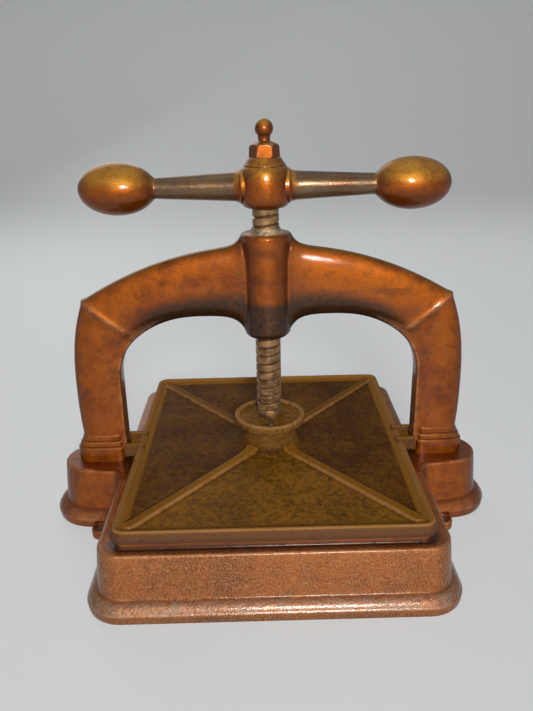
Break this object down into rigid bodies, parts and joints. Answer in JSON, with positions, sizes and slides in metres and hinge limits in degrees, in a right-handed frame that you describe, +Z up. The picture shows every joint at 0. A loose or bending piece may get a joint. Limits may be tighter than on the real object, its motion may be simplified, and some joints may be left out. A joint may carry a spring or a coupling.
{
  "type": "copying press",
  "caption": "Cast-iron copying press: arched frame on a flat hollow base, with a ball-ended handle and a screw that raises and lowers a ribbed platen.",
  "frame": {"origin": "on the table, under the screw: the middle of the base's footprint", "axes": "+Z up along the screw; +X to the right along the arch; the front, where the base's long wall faces the user, is at -Y"},
  "size_m": [0.4272, 0.3452, 0.3695],
  "materials": {
    "cast_frame": "copper-brown lacquer over cast iron, semi-gloss, worn at the edges",
    "cast_handle": "copper-brown lacquer, glossy on the ends and rubbed dark on the bars",
    "cast_platen": "olive-brown lacquer, mottled and dull, golden on the ribs",
    "bush": "worn bronze",
    "screw": "oiled steel with a brown bloom",
    "fasteners": "dark oiled steel"
  },
  "bodies": {
    "frame": {"base": "cast_frame", "arch": "cast_frame", "leg_bolt_left": "fasteners", "leg_bolt_right": "fasteners", "leg_washer_left": "fasteners", "leg_washer_right": "fasteners", "thread_bush": "bush", "bush_pin": "fasteners"},
    "platen_carriage": {"platen": "cast_platen", "thrust_disc": "fasteners", "keeper_front": "cast_platen", "keeper_rear": "cast_platen", "keeper_screws": "fasteners"},
    "screw_and_handle": {"press_screw": "screw", "handle": "cast_handle", "hub_washer": "cast_handle", "cap_nut": "cast_handle"}
  },
  "joints": [
    {"name": "platen_slide", "type": "slide", "parent": "frame", "child": "platen_carriage", "axis": [0, 0, 1], "range_m": [0, 0.072]},
    {"name": "screw_turn", "type": "hinge", "parent": "platen_carriage", "child": "screw_and_handle", "pos_m": [0, 0, 0.1], "axis": [0, 0, 1], "range_deg": [0, 3241]}
  ],
  "couplings": [
    {"joint": "screw_turn", "follows": "platen_slide", "rad_per_m": 785.4}
  ]
}
